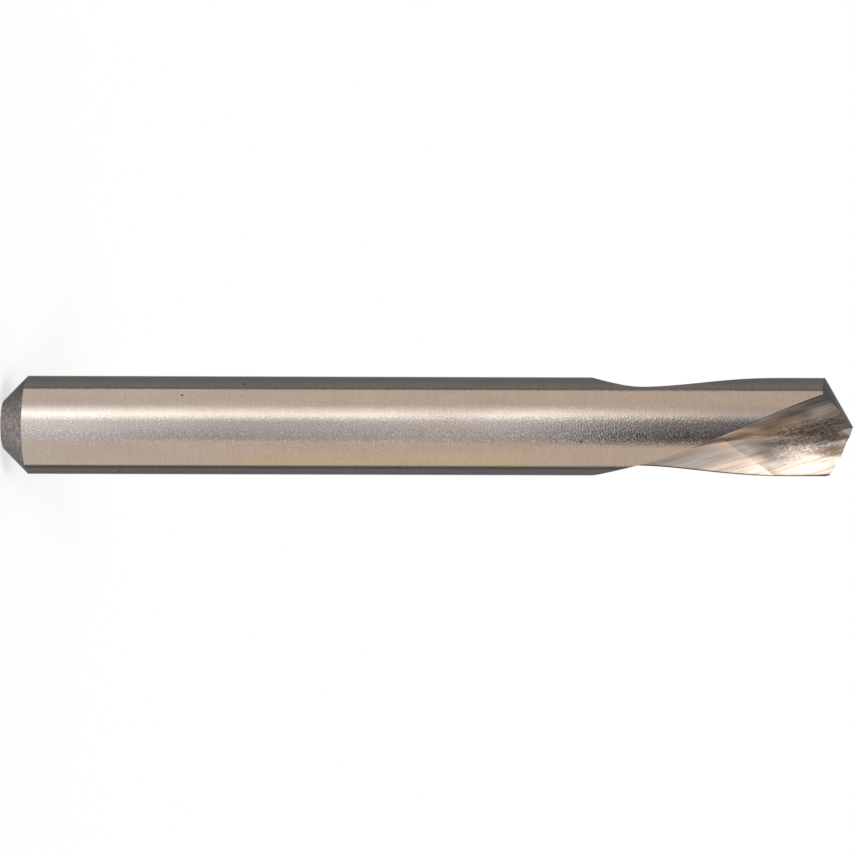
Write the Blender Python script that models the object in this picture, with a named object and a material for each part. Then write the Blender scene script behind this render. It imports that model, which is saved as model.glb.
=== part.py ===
"""A spotting drill: a short, stiff, solid drill with a plain round shank.

The bar is turned first, with a chamfer round its flat shank end. Three grinding operations then shape it,
each with a cutter that is used twice, half a turn apart: the flutes, the relieved flanks of the point,
and the notches that thin the web.

Lengths are in metres and angles in degrees. The axis is Z, the point is up, and the origin is the
centre of the flat shank end. The helix and the cut are left-handed.
"""

from math import cos, pi, radians, sin, tan

import bmesh
import bpy
import numpy as np
from mathutils import Matrix, Vector

MM = 0.001

# The bar.
DIAMETER = 12.0 * MM
LENGTH = 103.6 * MM
SHANK_CHAMFER = 3.0 * MM
SHANK_CHAMFER_ANGLE = 45.0

# The flutes: the lead of their helix, where it stands at the point, and the steel left at the centre.
LEAD = 86.2 * MM
FLUTE_TURN_AT_POINT = 289.7
FLUTE_FROM_CENTRE = 0.98 * MM
LAST_CUT_TO_POINT = 12.3 * MM

# The wheel that grinds them. Its outline is a long arc on the heel side of the flute, and on the rake side
# a small corner arc that runs into a hollowing one.
WHEEL_RADIUS = 52.0 * MM
WHEEL_TILT = 14.8
WHEEL_SIDE_STEP = -0.44 * MM
HEEL_SIDE_RADIUS = 7.7 * MM
CORNER_RADIUS = 1.2 * MM
CORNER_ANGLE = 52.6
RAKE_SIDE_RADIUS = 7.0 * MM

# The point.
POINT_ANGLE = 120.0
LIP_AHEAD_OF_CENTRE = 1.5 * MM
LIP_RELIEF = 7.0
FLANK_RADIUS = 15.0 * MM

# The notches that thin the web down to a short chisel edge.
NOTCH_ANGLE = 95.0
NOTCH_TURN = 293.5
NOTCH_SLOPE = 30.0
NOTCH_FROM_CENTRE = 0.12 * MM
NOTCH_ROOT_RADIUS = 0.4 * MM

# The steel's look, and the angle between faces above which an edge stays sharp.
STEEL_COLOUR = (0.46, 0.39, 0.33, 1.0)
STEEL_ROUGHNESS = 0.3
SHARP_EDGE_ANGLE = 20.0

# How finely each shape is made. The flute's levels lie closer together towards its floor, by this power.
BAR_SIDES = 96
FLUTE_STATIONS = 72
FLUTE_LEVELS = 13
FLUTE_LEVEL_POWER = 2
FLUTE_BACK_POINTS = 9
WHEEL_STEP = 0.25 * MM
WHEEL_ARC_POINTS = 24
FLANK_POINTS = 24
NOTCH_ROOT_POINTS = 6
MERGE_DISTANCE = 0.001 * MM

# Where the flute's walls are looked for: to each side of the wheel, for its floor in steps and for its
# edges by halving, and down from the last cut for the run-out.
FLOOR_SEARCH_ANGLE = 100.0
FLOOR_SEARCH_STEP = 1.0
EDGE_SEARCH_ANGLE = 135.0
RUN_OUT_SEARCH = 36.0 * MM
HALVINGS = 24

# How far a cutter reaches past the steel that it cuts.
CLEARANCE = 0.5 * MM

SQUARE = 90.0
BAR_RADIUS = DIAMETER / 2
CUT_RADIUS = BAR_RADIUS + CLEARANCE
CUT_TOP = LENGTH + 2 * CLEARANCE
LAST_CUT_HEIGHT = LENGTH - LAST_CUT_TO_POINT
WHEEL_REACH = DIAMETER
FLANK_REACH = 2 * DIAMETER
WHEEL_HEIGHTS = np.arange(LAST_CUT_HEIGHT, CUT_TOP + WHEEL_REACH, WHEEL_STEP)


def clear_scene():
    for thing in list(bpy.data.objects):
        bpy.data.objects.remove(thing, do_unlink=True)


def new_object(name, bm):
    mesh = bpy.data.meshes.new(name)
    bmesh.ops.recalc_face_normals(bm, faces=bm.faces)
    bm.to_mesh(mesh)
    bm.free()
    thing = bpy.data.objects.new(name, mesh)
    bpy.context.scene.collection.objects.link(thing)
    return thing


def turned_bar():
    """The bar before grinding, from its half profile: end face, chamfer, cylinder and sawn top."""
    end_radius = BAR_RADIUS - SHANK_CHAMFER
    chamfer_height = SHANK_CHAMFER * tan(radians(SHANK_CHAMFER_ANGLE))
    profile = (
        (0.0, 0.0),
        (end_radius, 0.0),
        (BAR_RADIUS, chamfer_height),
        (BAR_RADIUS, CUT_TOP - CLEARANCE),
        (0.0, CUT_TOP - CLEARANCE),
    )
    bm = bmesh.new()
    points = [bm.verts.new((radius, 0.0, height)) for radius, height in profile]
    edges = [bm.edges.new(pair) for pair in zip(points, points[1:])]
    bmesh.ops.spin(
        bm,
        geom=points + edges,
        axis=(0.0, 0.0, 1.0),
        cent=(0.0, 0.0, 0.0),
        angle=2 * pi,
        steps=BAR_SIDES,
        use_merge=True,
    )
    bmesh.ops.remove_doubles(bm, verts=bm.verts, dist=MERGE_DISTANCE)
    return new_object("spotting_drill", bm)


def wheel_turn(height):
    """The direction in which the wheel stands when its middle is at this height, in radians."""
    return radians(FLUTE_TURN_AT_POINT) + 2 * pi * (LENGTH - height) / LEAD


def arc(radius, start, end):
    """Steps sideways and back along an arc of the wheel's outline, between two angles of its slope."""
    slope = np.radians(np.linspace(start, end, WHEEL_ARC_POINTS))
    return radius * (np.sin(slope) - np.sin(slope[0])), radius * (np.cos(slope[0]) - np.cos(slope))


def wheel_outline():
    """How far the wheel's surface lies inside its full radius, at each distance to one side of its rim."""
    heel_aside, heel_back = arc(HEEL_SIDE_RADIUS, 0.0, SQUARE)
    corner_aside, corner_back = arc(CORNER_RADIUS, 0.0, CORNER_ANGLE)
    rake_aside, rake_back = arc(RAKE_SIDE_RADIUS, CORNER_ANGLE, SQUARE)
    rake_aside = np.append(corner_aside, corner_aside[-1] + rake_aside[1:])
    rake_back = np.append(corner_back, corner_back[-1] + rake_back[1:])
    aside = np.append(-rake_aside[::-1], heel_aside[1:])
    back = np.append(rake_back[::-1], heel_back[1:])
    return aside, back


WHEEL_OUTLINE = wheel_outline()


def gap_to_wheel(radius, turn, height):
    """The gap between a point and the wheel on its nearest pass, negative inside the wheel."""
    radius, turn, height = np.broadcast_arrays(radius, turn, height)
    off = turn[..., None] - wheel_turn(WHEEL_HEIGHTS)
    outward = radius[..., None] * np.cos(off)
    aside = -radius[..., None] * np.sin(off) - WHEEL_SIDE_STEP
    above = height[..., None] - WHEEL_HEIGHTS
    tilt = radians(WHEEL_TILT)
    forward = above * cos(tilt) + aside * sin(tilt)
    across = aside * cos(tilt) - above * sin(tilt)
    to_hub = np.hypot(forward, FLUTE_FROM_CENTRE + WHEEL_RADIUS - outward)
    setback = np.interp(across, *WHEEL_OUTLINE, left=WHEEL_RADIUS, right=WHEEL_RADIUS)
    return (to_hub + setback - WHEEL_RADIUS).min(axis=-1)


def halve(inside, outside, is_inside):
    """The place between two arrays of places at which is_inside stops being true, by halving."""
    for _ in range(HALVINGS):
        middle = (inside + outside) / 2
        held = is_inside(middle)
        inside = np.where(held, middle, inside)
        outside = np.where(held, outside, middle)
    return (inside + outside) / 2


def deepest_turn(radius, height):
    """The direction in which the wheel cuts deepest at this radius and height, and its gap there."""
    start = wheel_turn(np.maximum(height, LAST_CUT_HEIGHT))
    places = np.arange(-FLOOR_SEARCH_ANGLE, FLOOR_SEARCH_ANGLE + FLOOR_SEARCH_STEP, FLOOR_SEARCH_STEP)
    turns = start[..., None] + np.radians(places)
    gaps = gap_to_wheel(radius[..., None], turns, height[..., None])
    best = gaps.argmin(axis=-1)[..., None]
    return np.take_along_axis(turns, best, -1)[..., 0], np.take_along_axis(gaps, best, -1)[..., 0]


def run_out_height():
    """The height at which the wheel's last pass leaves the cutter's outer radius."""
    outer = np.array([CUT_RADIUS])
    last_cut = np.array([LAST_CUT_HEIGHT])

    def cuts(height):
        return deepest_turn(outer, height)[1] < 0.0

    return float(halve(last_cut, last_cut - RUN_OUT_SEARCH, cuts)[0])


def flute_sections():
    """The wheel's swept section at each height, from run-out to point: loops of (x, y, z) points."""
    bottom = run_out_height()
    heights = np.linspace(bottom, CUT_TOP, FLUTE_STATIONS + 1)[1:]
    outer = np.full_like(heights, CUT_RADIUS)

    def reached(radius):
        return deepest_turn(radius, heights)[1] < 0.0

    floor = halve(outer, np.zeros_like(heights), reached)
    share = (np.arange(1, FLUTE_LEVELS + 1) / FLUTE_LEVELS) ** FLUTE_LEVEL_POWER
    radii = floor[:, None] + (outer - floor)[:, None] * share
    levels = np.broadcast_to(heights[:, None], radii.shape)
    middle, _ = deepest_turn(radii, levels)

    def cut_away(turn):
        return gap_to_wheel(radii, turn, levels) < 0.0

    rake_edge = halve(middle, middle + radians(EDGE_SEARCH_ANGLE), cut_away)
    heel_edge = halve(middle, middle - radians(EDGE_SEARCH_ANGLE), cut_away)
    floor_turn, _ = deepest_turn(floor, heights)

    sections = []
    for row, height in enumerate(heights):
        back = np.linspace(rake_edge[row, -1], heel_edge[row, -1], FLUTE_BACK_POINTS + 2)[1:-1]
        turns = [*heel_edge[row, ::-1], floor_turn[row], *rake_edge[row], *back]
        radius = [*radii[row, ::-1], floor[row], *radii[row], *([CUT_RADIUS] * len(back))]
        sections.append([(r * cos(a), r * sin(a), height) for r, a in zip(radius, turns)])
    first_turn, _ = deepest_turn(np.array([CUT_RADIUS]), np.array([bottom]))
    tip = (CUT_RADIUS * cos(first_turn[0]), CUT_RADIUS * sin(first_turn[0]), bottom)
    return tip, sections


def flute_cutter():
    tip, sections = flute_sections()
    bm = bmesh.new()
    start = bm.verts.new(tip)
    loops = [[bm.verts.new(point) for point in section] for section in sections]
    count = len(loops[0])
    for i in range(count):
        j = (i + 1) % count
        bm.faces.new((start, loops[0][j], loops[0][i]))
        for below, over in zip(loops, loops[1:]):
            bm.faces.new((below[i], below[j], over[j], over[i]))
    bm.faces.new(loops[-1])
    # The faces between stations are slightly twisted. Triangles are flat, so the cut is exact.
    bmesh.ops.triangulate(bm, faces=bm.faces)
    return new_object("flute_cutter", bm)


def flank_cutter():
    """The steel above one flank: an arc, convex along the land, extruded along the lip."""
    relief = radians(LIP_RELIEF)
    half_point = radians(POINT_ANGLE / 2)
    crest = LIP_AHEAD_OF_CENTRE + FLANK_RADIUS * sin(relief)
    drop_to_centre = FLANK_RADIUS - (FLANK_RADIUS**2 - crest**2) ** 0.5
    places = np.linspace(-CUT_RADIUS, crest, FLANK_POINTS).tolist()
    outline = [
        (y, drop_to_centre + (FLANK_RADIUS**2 - (y - crest) ** 2) ** 0.5 - FLANK_RADIUS)
        for y in places
    ]
    far_corners = ((FLANK_REACH, outline[-1][1]), (FLANK_REACH, FLANK_REACH), (-CUT_RADIUS, FLANK_REACH))
    outline.extend(far_corners)
    along_lip = Vector((-sin(half_point), 0.0, -cos(half_point)))
    upright = Vector((-cos(half_point), 0.0, sin(half_point)))
    centre = Vector((0.0, 0.0, LENGTH))

    def place(side, y, w):
        return centre + side * FLANK_REACH * along_lip + Vector((0.0, y, 0.0)) + w * upright

    bm = bmesh.new()
    ends = [[bm.verts.new(place(side, y, w)) for y, w in outline] for side in (-1, 1)]
    count = len(outline)
    for i in range(count):
        j = (i + 1) % count
        bm.faces.new((ends[0][i], ends[0][j], ends[1][j], ends[1][i]))
    bm.faces.new(ends[0])
    bm.faces.new(ends[1])
    return new_object("flank_cutter", bm)


def notch_cutter():
    """A wedge with a rounded root. It starts beside the centre of the point and runs out into the flute."""
    half = radians(NOTCH_ANGLE / 2)
    quarter = radians(SQUARE)
    turns = np.linspace(quarter + half, 3 * quarter - half, NOTCH_ROOT_POINTS)
    outline = [(NOTCH_ROOT_RADIUS * (1 + cos(turn)), NOTCH_ROOT_RADIUS * sin(turn)) for turn in turns]
    (first_x, first_y), (last_x, last_y) = outline[0], outline[-1]
    outline.append((last_x + BAR_RADIUS * cos(half), last_y - BAR_RADIUS * sin(half)))
    outline.append((first_x + BAR_RADIUS * cos(half), first_y + BAR_RADIUS * sin(half)))
    bm = bmesh.new()
    base = bm.faces.new([bm.verts.new((x, y, -BAR_RADIUS)) for x, y in outline])
    grown = bmesh.ops.extrude_face_region(bm, geom=[base])["geom"]
    top = [item for item in grown if isinstance(item, bmesh.types.BMVert)]
    bmesh.ops.translate(bm, verts=top, vec=(0.0, 0.0, 2 * BAR_RADIUS))
    lean = Matrix.Rotation(-radians(NOTCH_SLOPE), 4, "Y")
    place = Matrix.Translation((NOTCH_FROM_CENTRE, 0.0, LENGTH))
    face_flute = Matrix.Rotation(radians(NOTCH_TURN), 4, "Z")
    bmesh.ops.transform(bm, matrix=face_flute @ place @ lean, verts=bm.verts)
    return new_object("notch_cutter", bm)


def use_twice(bar, cutter):
    """Cuts the bar with the cutter, and again half a turn round."""
    again = bpy.data.objects.new(cutter.name + "_opposite", cutter.data)
    again.rotation_euler.z = pi
    bpy.context.scene.collection.objects.link(again)
    for tool in (cutter, again):
        tool.hide_render = True
        tool.display_type = "WIRE"
        cut = bar.modifiers.new(tool.name, "BOOLEAN")
        cut.operation = "DIFFERENCE"
        cut.solver = "EXACT"
        cut.object = tool


def high_speed_steel():
    material = bpy.data.materials.new("high_speed_steel")
    material.use_nodes = True
    surface = material.node_tree.nodes["Principled BSDF"]
    surface.inputs["Base Color"].default_value = STEEL_COLOUR
    surface.inputs["Metallic"].default_value = 1.0
    surface.inputs["Roughness"].default_value = STEEL_ROUGHNESS
    return material


def main():
    clear_scene()
    drill = turned_bar()
    for cutter in (flute_cutter(), flank_cutter(), notch_cutter()):
        use_twice(drill, cutter)
    drill.data.materials.append(high_speed_steel())
    drill.data.shade_smooth()
    drill.data.set_sharp_from_angle(angle=radians(SHARP_EDGE_ANGLE))


main()
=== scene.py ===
"""The looks of the spotting drill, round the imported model.

The drill's surface is made again here, finer than in the model, from the same sizes: a turned bar, and three
grinding cuts that are each made twice, half a turn apart. It gets exact normals, and each of its points says
which of the two flutes it is near. Lengths are in metres and angles in degrees, but the tables of the looks
give places on the drill in millimetres. The axis is Z, the point is up, and the origin is the centre of the
flat shank end.
"""

from math import asin, cos, pi, radians, sin

import bmesh
import bpy
import numpy as np
from mathutils import Matrix, Vector


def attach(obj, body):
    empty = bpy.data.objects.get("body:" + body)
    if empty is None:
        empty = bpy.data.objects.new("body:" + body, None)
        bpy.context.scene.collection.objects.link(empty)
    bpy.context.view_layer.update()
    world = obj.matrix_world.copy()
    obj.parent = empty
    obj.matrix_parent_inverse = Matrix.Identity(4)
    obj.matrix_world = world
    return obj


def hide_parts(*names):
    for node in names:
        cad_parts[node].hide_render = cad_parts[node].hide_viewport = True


MM = 0.001

# The bar.
DIAMETER = 12.0 * MM
LENGTH = 103.6 * MM
SHANK_CHAMFER = 3.0 * MM

# The flutes, and the wheel that grinds them.
LEAD = 86.2 * MM
FLUTE_TURN_AT_POINT = 289.7
FLUTE_FROM_CENTRE = 0.98 * MM
LAST_CUT_TO_POINT = 12.3 * MM
WHEEL_RADIUS = 52.0 * MM
WHEEL_TILT = 14.8
WHEEL_SIDE_STEP = -0.44 * MM
HEEL_SIDE_RADIUS = 7.7 * MM
CORNER_RADIUS = 1.2 * MM
CORNER_ANGLE = 52.6
RAKE_SIDE_RADIUS = 7.0 * MM
WALL_STEEPNESS = 30.0

# The point and its notches.
POINT_ANGLE = 120.0
LIP_AHEAD_OF_CENTRE = 1.5 * MM
LIP_RELIEF = 7.0
FLANK_RADIUS = 15.0 * MM
NOTCH_ANGLE = 95.0
NOTCH_TURN = 293.5
NOTCH_SLOPE = 30.0
NOTCH_FROM_CENTRE = 0.12 * MM
NOTCH_ROOT_RADIUS = 0.4 * MM

# How finely each shape is made, and how its walls are looked for.
BAR_SIDES = 256
FLUTE_STATIONS = 200
FLUTE_LEVELS = 30
FLUTE_LEVEL_POWER = 2
FLUTE_BACK_POINTS = 9
WHEEL_STEP = 0.25 * MM
WHEEL_ARC_POINTS = 96
FLANK_POINTS = 96
NOTCH_ROOT_POINTS = 16
MERGE_DISTANCE = 0.001 * MM
FLOOR_SEARCH_ANGLE = 100.0
FLOOR_SEARCH_STEP = 2.0
EDGE_SEARCH_ANGLE = 135.0
RUN_OUT_SEARCH = 36.0 * MM
HALVINGS = 24
PASS_HALVINGS = 12
SLOPE_STEP = 0.002 * MM
POINTS_AT_ONCE = 2000
CLEARANCE = 0.5 * MM

SQUARE = 90.0
BAR_RADIUS = DIAMETER / 2
CUT_RADIUS = BAR_RADIUS + CLEARANCE
CUT_TOP = LENGTH + 2 * CLEARANCE
LAST_CUT_HEIGHT = LENGTH - LAST_CUT_TO_POINT
WHEEL_REACH = DIAMETER
WHEEL_HEIGHTS = np.arange(LAST_CUT_HEIGHT, CUT_TOP + WHEEL_REACH, WHEEL_STEP)

# The surfaces, by the place of their material on the drill.
SURFACES = ("ground_cylinder", "sawn_end", "ground_flute", "ground_flank", "ground_notch")
CYLINDER, END, FLUTE, FLANK, NOTCH = range(len(SURFACES))
SIDE_ATTRIBUTE = "flute_side"

# The camera, and the photograph's frame.
IMAGE_SIZE = 854
PIXEL = 0.1221 * MM
AXIS_ROW = 425.95
TIP_COLUMN = 853.0
CAMERA_DISTANCE = 300.0 * MM
CAMERA_ROLL = 0.17
SENSOR = 36.0

# The cards that the polished steel mirrors stand round the drill, this far from its axis.
CAMERA_HEIGHT = LENGTH - (TIP_COLUMN - IMAGE_SIZE / 2) * PIXEL
CARD_RADIUS = 100.0 * MM
FAR_CARD_RADIUS = 400.0 * MM
NEAR_CARD_RADIUS = 14.0 * MM
CARD_STEPS = 48
CARD_STRENGTH = 4.0

# Where on the shank the cards show: shares of its radius above its midline, and heights in millimetres.
# Between the two gap heights the front card stands further off, so that the flutes see past it to a light.
FRONT_SHARES = (0.728, -0.805)
FLUTE_LIGHT_SHARES = (0.42, -0.16)
BEHIND_SHARE = 0.94
OVER_POINT_SHARE = -0.36
CARD_SPAN = (-30.0, 140.0)
FRONT_GAP = (47.0, 59.4)
FLUTE_LIGHT_SPAN = (-18.0, 23.0)
BEHIND_FOOT = 94.0
OVER_POINT_FOOT = 88.0
DARK_TOP = 170.0

# The cards' levels, where 1.0 is white, at heights of the shank, at shares of its radius, or from 0 to 1 across
# a card. The two dark cards beside the front ones end softly low on the drill, and hard at its point.
LIGHT_TINT = (0.93, 1.02, 1.08)
GREY_TINT = (0.93, 1.05, 1.24)
DARK_TINT = (0.93, 1.0, 1.1)
WARM_TINT = (1.10, 1.0, 0.82)
PLAIN_UP = (
    ((-30, 1.0), (1.0, 1.04, 1.10)),
    ((10, 1.0), (1.02, 1.05, 1.09)),
    ((24, 1.0), (1.04, 1.05, 1.06)),
    ((38, 1.0), (1.03, 0.99, 0.96)),
    ((57, 1.0), (1.01, 0.96, 0.92)),
    ((80, 1.0), (0.99, 0.95, 0.91)),
    ((104, 0.9), (0.98, 0.95, 0.92)),
)
LIGHT_UP = (
    (-30, 1.9), (9, 1.5), (24, 1.35), (42, 1.35), (57, 1.35), (68, 1.3), (76, 0.95), (83, 0.68), (95, 0.2),
    (100, 0.0),
)
LIGHT_ACROSS = (
    (0.45, 0.0), (0.40, 0.06), (0.36, 0.25), (0.32, 0.48), (0.28, 0.75), (0.24, 1.0), (0.20, 1.0), (0.165, 0.7),
    (0.12, 0.25), (0.08, 0.05), (0.04, 0.0),
)
GREY_MIDDLE_UP = (
    (-30, 1.6), (9, 1.45), (24, 1.05), (32, 0.9), (42, 1.05), (57, 1.12), (66, 1.2), (71, 1.0), (74, 0.5),
    (77, 0.32), (83, 0.2), (95, 0.40),
)
GREY_LOWER_UP = (
    (-30, 1.35), (9, 1.12), (24, 0.72), (42, 0.78), (57, 0.78), (66, 0.85), (70.5, 0.65), (74, 0.18),
    (77, 0.10), (83, 0.03), (95, 0.30),
)
GREY_LOWER_ACROSS = ((0.02, 0.0), (-0.22, 1.0))
GREY_ACROSS_SHANK = ((0.45, 0.0), (0.12, 1.0), (-0.275, 1.0), (-0.32, 0.0))
GREY_ACROSS_POINT = ((0.45, 0.0), (0.12, 1.0), (-0.29, 1.0), (-0.43, 0.0))
GREY_CHANGES_UP = ((55, 0.0), (70, 1.0))
WARM_UP = ((22, 0.0), (34, 1.0), (60, 0.8), (72, 0.0))
WARM_ACROSS = ((-0.5, 0.0), (-0.64, 1.0), (-0.805, 0.8))
FLUTE_LIGHT_UP = ((-18, 0.6), (-11, 2.2), (0, 2.2), (5.5, 1.1), (12, 0.4), (23, 0.0))
FLUTE_LIGHT_ACROSS = ((0.0, 0.0), (0.25, 1.0), (0.7, 1.0), (1.0, 0.0))
ABOVE_ACROSS = ((0.0, 0.24), (0.1, 0.26), (0.18, 0.36), (0.42, 0.34), (0.94, 0.2))
BELOW_ACROSS = ((0.0, 0.45), (0.10, 0.2), (0.28, 0.16), (0.4, 0.3), (0.6, 0.27), (0.92, 0.18))
SOFT_END = 0.7
HARD_END = 0.2
END_CHANGES_UP = ((90, 0.0), (95, 1.0))
BEHIND_UP = ((94, 0.9), (104, 0.3), (140, 0.3))
OVER_POINT_UP = ((88, 0.3), (102, 0.32), (118, 0.45), (133, 0.55))

# The steel's colour, and the shades that its noises give it, as (noise, colour) stops.
TAN_STEEL = (0.445, 0.356, 0.287)
# The first table paints glints: bright grains in the steel's colour.
PAINTED_GLINT_SHADES = (
    (0.32, (0.62, 0.62, 0.62)), (0.5, (0.88, 0.88, 0.88)), (0.6, (1.05, 1.05, 1.05)), (0.72, (1.8, 1.8, 1.8)),
)
NICK_SHADES = ((0.03, (0.25, 0.22, 0.2)), (0.045, (1.0, 1.0, 1.0)))
# The end's tones are partly its rough steel and partly painted shade.
SAWN_STEEL_AND_PAINTED_SHADE = ((0.33, (0.15, 0.125, 0.112)), (0.5, (0.30, 0.26, 0.24)), (0.68, (0.52, 0.46, 0.43)))
STREAK_SHADES = ((0.34, (0.86, 0.82, 0.78)), (0.5, (1.0, 1.0, 1.0)), (0.68, (1.1, 1.1, 1.1)))
LINE_SHADES = ((0.36, (0.78, 0.72, 0.67)), (0.5, (1.0, 1.0, 1.0)), (0.64, (1.14, 1.14, 1.14)))
PIT_SHADES = ((0.36, (0.25, 0.25, 0.28)), (0.5, (0.95, 0.95, 0.97)), (0.66, (1.5, 1.5, 1.5)))
FLANK_SHADES = ((0.3, (0.25, 0.21, 0.17)), (0.7, (0.33, 0.275, 0.225)))
NOTCH_SHADES = ((0.3, (0.31, 0.26, 0.22)), (0.7, (0.44, 0.37, 0.31)))

# How the shank's grain and its painted glints change up it, and beside the line across it where they are
# strongest.
GRAIN_AND_GLINT_MIDDLE = 0.55
COARSE_UP = ((0, 0.35), (50, 0.45), (64, 0.7), (72, 1.0), (86, 1.0), (92, 0.3))
COARSE_BESIDE = ((0.0, 1.0), (1.3, 1.0), (2.4, 0.45))
COARSE_ROUGHNESS = ((0.35, 0.13), (1.0, 0.17))
PAINTED_GLINT_UP = ((15, 0.3), (55, 0.35), (66, 0.5), (73, 0.9), (92, 0.8))
PAINTED_GLINT_BESIDE = ((0.0, 1.0), (1.1, 1.0), (1.9, 0.0))
# Painted shade that darkens one side of the end.
END_PAINTED_SHADE_ACROSS = ((-5, 0.58), (-0.5, 1.0))
SAWN_ROUGHNESS = ((0.3, 0.6), (0.7, 0.42))

# The marks of grinding on the flute that faces the camera, as (height, across) places with slopes of across
# over height. The other flute has them half a turn round.
HEEL_EDGE = (99.8, -3.61)
HEEL_EDGE_SLOPE = -0.401
CREASE = (87.6, 1.39)
CREASE_SLOPE = 0.704
CREASE_HALF_WIDTH = 0.05
GRINDING_ANGLE = 17.0
VALLEY = (93.5, 1.5)
VALLEY_SLOPE = -0.2
CRINKLES_FROM_VALLEY = ((-1.8, 0.0), (-0.7, 1.0), (1.2, 0.8), (3.0, 0.4), (4.2, 0.0))
CRINKLES_UP = ((92.5, 0.0), (95.5, 1.0), (101.5, 1.0), (103, 0.4))
CRINKLE_ROUGHNESS = ((0.0, 0.24), (1.0, 0.34))
RIM_FROM_AXIS = ((5.81, 0.0), (5.93, 1.0))
RIM_TONE = 0.12

# Thin marks along lines: where the line starts, its slope, its half width, its strength up the drill, and its
# colour.
BURN = (
    (101.5, -2.15), 1.33, 0.35, ((100.9, 0.0), (101.6, 1.0), (102.8, 1.0), (103.2, 0.0)),
    (0.22, 0.10, 0.06, 1.0),
)
# A black line along the flute's edge by the flank's corner.
FLANK_CORNER_LINE = (
    (99.95, -3.6), 0.75, 0.32, ((99.7, 0.0), (99.8, 1.0), (100.6, 1.0), (100.8, 0.0)), (0.01, 0.01, 0.01, 1.0),
)
LIP = ((103.55, 0.25), -2.1, 0.5, ((100.4, 0.0), (100.8, 0.7), (103.6, 0.7)), (0.04, 0.035, 0.03, 1.0))

# The flute's painted light and shade, as factors on the steel's colour of up to the full factor: painted
# highlights above 1 and painted shade below it. The flute proper has an upper and a lower part, and the lower
# one's painted light also holds by the notch.
FULL_PAINTED_LIGHT = 2.0
RUN_OUT_PAINTED_LIGHT = ((-9.0, 1.08), (-3.0, 1.18), (0.0, 1.55))
PLAIN_HEEL_PAINTED_LIGHT = 1.44
PAINTED_LIGHT_FROM_HEEL = (
    (0.0, 0.55), (0.5, 0.7), (1.0, 1.2), (1.7, 1.5), (2.4, 1.2), (3.0, 0.75), (3.8, 0.7), (4.6, 0.85),
    (6.0, 1.1), (7.5, 1.3),
)
PLAIN_HEEL_UP = ((92.0, 1.0), (95.1, 0.0))
PAINTED_LIGHT_FROM_CREASE = ((0.0, 0.95), (0.8, 0.92), (1.3, 1.0), (2.7, 0.8), (4.5, 0.88), (6.5, 1.0))
UPPER_PAINTED_LIGHT = ((91.6, 1.9), (92.9, 1.5), (95.3, 1.15), (97.1, 0.72), (99, 0.62), (100.5, 0.5), (103, 0.55))
LOWER_PAINTED_LIGHT = ((1.4, 1.0), (1.9, 1.05), (2.5, 1.2), (3.2, 1.2), (4.2, 1.6), (4.9, 1.5), (5.9, 1.0))
LOWER_PAINTED_LIGHT_UP = (
    (91.0, 0.72), (91.9, 0.6), (92.7, 0.51), (93.5, 0.5), (94.7, 0.77), (95.9, 1.0), (98.3, 1.0), (99.6, 0.75),
    (101, 0.62), (102.5, 0.95),
)
UPPER_PAINTED_TINT = (0.94, 1.0, 1.07, 1.0)
LOWER_PART_ACROSS = ((1.1, 0.0), (1.6, 1.0))
BY_NOTCH_ACROSS = ((0.2, 0.0), (1.0, 1.0))
BY_NOTCH_UP = ((100.8, 0.0), (102.0, 1.0))

# The light. A white surface that faces up gets 1.0 from the world and the soft light together.
WORLD_LEVEL = 0.6
LIGHT_ELEVATION = 55.0
LIGHT_SPREAD = 25.0
FLOOR_LIT_SHARE = 0.35
FLOOR_PALE = 0.8
FLOOR_REACH = 30.0


def new_object(name, bm):
    """Turns a bmesh into an object of the scene."""
    mesh = bpy.data.meshes.new(name)
    bmesh.ops.recalc_face_normals(bm, faces=bm.faces)
    bm.to_mesh(mesh)
    bm.free()
    thing = bpy.data.objects.new(name, mesh)
    bpy.context.scene.collection.objects.link(thing)
    return thing


def mark_surface(bm, surface):
    """Gives every face the place of this surface's material."""
    for face in bm.faces:
        face.material_index = surface


def turned_bar():
    """The bar before it is ground, with its chamfer and a little longer than the drill."""
    end_radius = BAR_RADIUS - SHANK_CHAMFER
    profile = (
        (0.0, 0.0),
        (end_radius, 0.0),
        (BAR_RADIUS, SHANK_CHAMFER),
        (BAR_RADIUS, CUT_TOP - CLEARANCE),
        (0.0, CUT_TOP - CLEARANCE),
    )
    bm = bmesh.new()
    points = [bm.verts.new((radius, 0.0, height)) for radius, height in profile]
    edges = [bm.edges.new(pair) for pair in zip(points, points[1:])]
    bmesh.ops.spin(
        bm,
        geom=points + edges,
        axis=(0.0, 0.0, 1.0),
        cent=(0.0, 0.0, 0.0),
        angle=2 * pi,
        steps=BAR_SIDES,
        use_merge=True,
    )
    bmesh.ops.remove_doubles(bm, verts=bm.verts, dist=MERGE_DISTANCE)
    for face in bm.faces:
        below_cylinder = min(vert.co.z for vert in face.verts) < SHANK_CHAMFER / 2
        face.material_index = END if below_cylinder else CYLINDER
    return new_object("spotting_drill_surface", bm)


def wheel_turn(height):
    """The direction, in radians round the axis, in which the wheel stands when its middle is at this height."""
    return radians(FLUTE_TURN_AT_POINT) + 2 * pi * (LENGTH - height) / LEAD


def arc(radius, start, end):
    """Steps sideways and back along an arc of the wheel's outline, between two angles of its slope."""
    slope = np.radians(np.linspace(start, end, WHEEL_ARC_POINTS))
    return radius * (np.sin(slope) - np.sin(slope[0])), radius * (np.cos(slope[0]) - np.cos(slope))


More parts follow.
